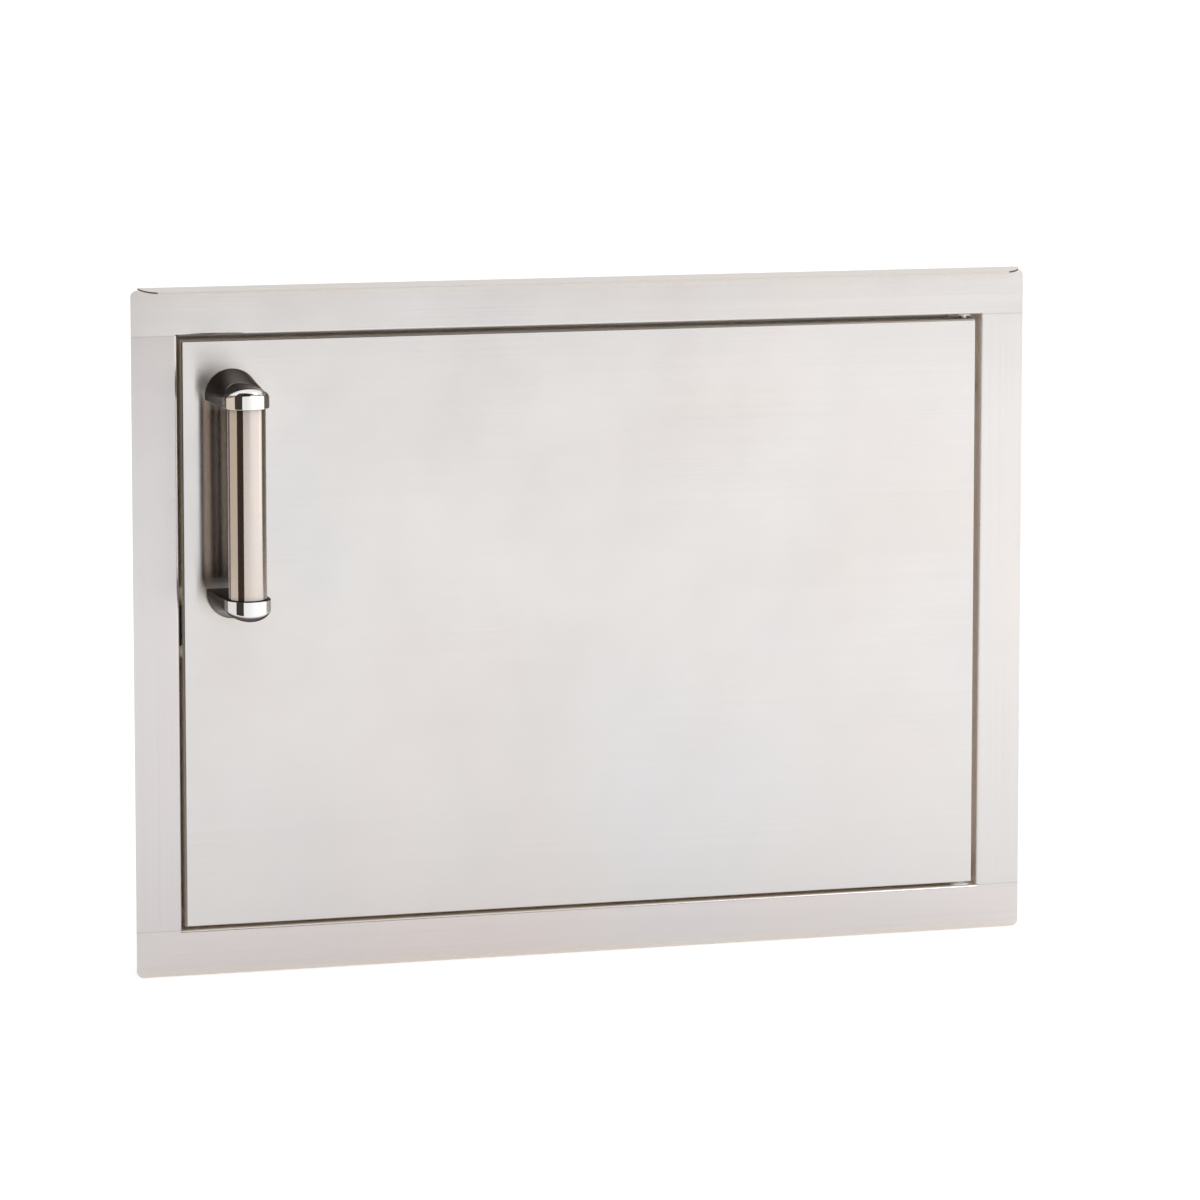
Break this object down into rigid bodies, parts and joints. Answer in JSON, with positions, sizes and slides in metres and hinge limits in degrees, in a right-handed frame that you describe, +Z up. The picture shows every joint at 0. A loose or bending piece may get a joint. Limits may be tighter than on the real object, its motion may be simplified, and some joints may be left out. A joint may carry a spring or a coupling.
{
  "type": "bbq island access door",
  "caption": "Flush access door for an outdoor kitchen island: face frame with drip lip, swinging door panel on pivot pins, tube handle with cast ends, magnetic catch.",
  "frame": {"origin": "middle of the wall cut-out, on the wall's face against which the frame's flange lies", "axes": "+Z up, +X to the right seen from the front, +Y into the wall; the door faces -Y"},
  "size_m": [0.686, 0.1299, 0.51],
  "materials": {
    "frame_steel": "brushed stainless steel",
    "door_steel": "brushed stainless steel",
    "handle_steel": "satin stainless steel tube",
    "handle_cast": "mirror polished",
    "plated_steel": "zinc plated steel",
    "rivet_aluminium": "plain aluminium",
    "catch_plastic": "black moulded plastic",
    "pivot_plastic": "natural white acetal",
    "magnet_ferrite": "sintered ferrite",
    "bumper_rubber": "soft black rubber"
  },
  "bodies": {
    "frame_set": {"top_rail": "frame_steel", "bottom_rail": "frame_steel", "left_stile": "frame_steel", "right_stile": "frame_steel", "stop_top": "frame_steel", "stop_bottom": "frame_steel", "stop_left_upper": "frame_steel", "stop_left_lower": "frame_steel", "bumper_upper": "bumper_rubber", "bumper_lower": "bumper_rubber", "catch_housing": "catch_plastic", "catch_magnet": "magnet_ferrite", "catch_pole_left": "plated_steel", "catch_pole_right": "plated_steel", "catch_screw_upper": "plated_steel", "catch_screw_lower": "plated_steel", "upper_bushing": "pivot_plastic", "lower_pivot_stud": "plated_steel", "lower_washer": "pivot_plastic"},
    "door_set": {"door_skin": "door_steel", "door_liner": "door_steel", "upper_hinge_bracket": "plated_steel", "lower_hinge_bracket": "plated_steel", "lower_bushing": "pivot_plastic", "handle_tube": "handle_steel", "handle_end_top": "handle_cast", "handle_end_bottom": "handle_cast", "handle_screw_top": "plated_steel", "handle_screw_bottom": "plated_steel", "handle_washer_top": "plated_steel", "handle_washer_bottom": "plated_steel", "handle_backing_plate": "plated_steel", "strike_plate": "plated_steel", "strike_rivet_upper": "rivet_aluminium", "strike_rivet_lower": "rivet_aluminium", "liner_plug_top": "catch_plastic", "liner_plug_bottom": "catch_plastic", "pin_spring": "plated_steel"},
    "pin_set": {"hinge_pin": "plated_steel", "pin_clip": "plated_steel", "pin_grip": "catch_plastic"}
  },
  "joints": [
    {"name": "door_hinge", "type": "hinge", "parent": "frame_set", "child": "door_set", "pos_m": [0.2977, 0.0063, 0], "axis": [0, 0, 1], "range_deg": [0, 110]},
    {"name": "pin_slide", "type": "slide", "parent": "door_set", "child": "pin_set", "axis": [0, 0, 1], "range_m": [-0.009, 0], "stiffness_N_per_m": 400, "springref_m": 0.006, "deforming": ["pin_spring"]}
  ]
}
